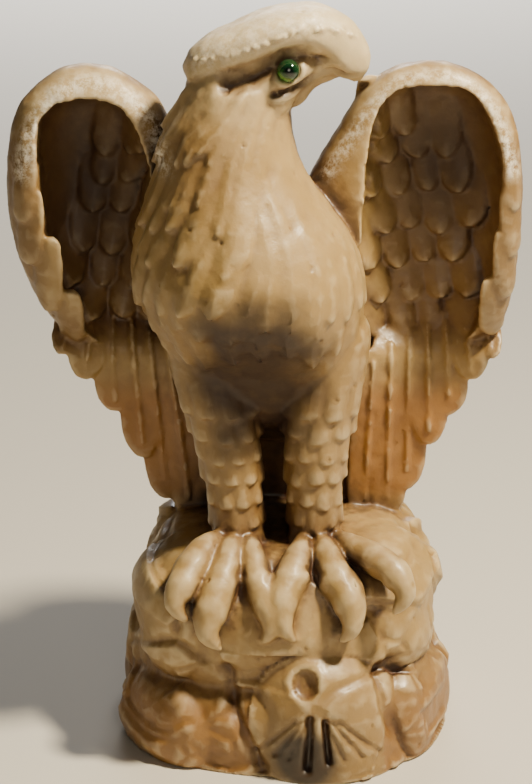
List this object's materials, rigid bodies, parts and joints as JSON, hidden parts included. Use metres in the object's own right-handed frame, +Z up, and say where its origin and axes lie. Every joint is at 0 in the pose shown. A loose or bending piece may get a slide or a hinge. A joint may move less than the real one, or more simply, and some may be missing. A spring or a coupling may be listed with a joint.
{
  "type": "resin eagle sculpture",
  "caption": "Cast-resin eagle standing on a stepped rock, with raised, cupped wings, its head turned to its left and small green glass eyes",
  "frame": {"origin": "on the flat underside of the rock, below the middle of the perch", "axes": "+Z up from the underside to the crown; the eagle's breast faces -Y and its beak points to +X"},
  "size_m": [0.139, 0.0896, 0.2031],
  "materials": {
    "cast_resin": "honey-tan casting resin, slightly translucent and semi-gloss, darker brown in the hollows, amber in the long wing feathers, and rubbed pale on the wing rims and the crown",
    "green_glass": "clear green glass, polished"
  },
  "bodies": {
    "root": {"eagle_casting": "cast_resin", "right_eye": "green_glass", "left_eye": "green_glass"}
  },
  "joints": []
}
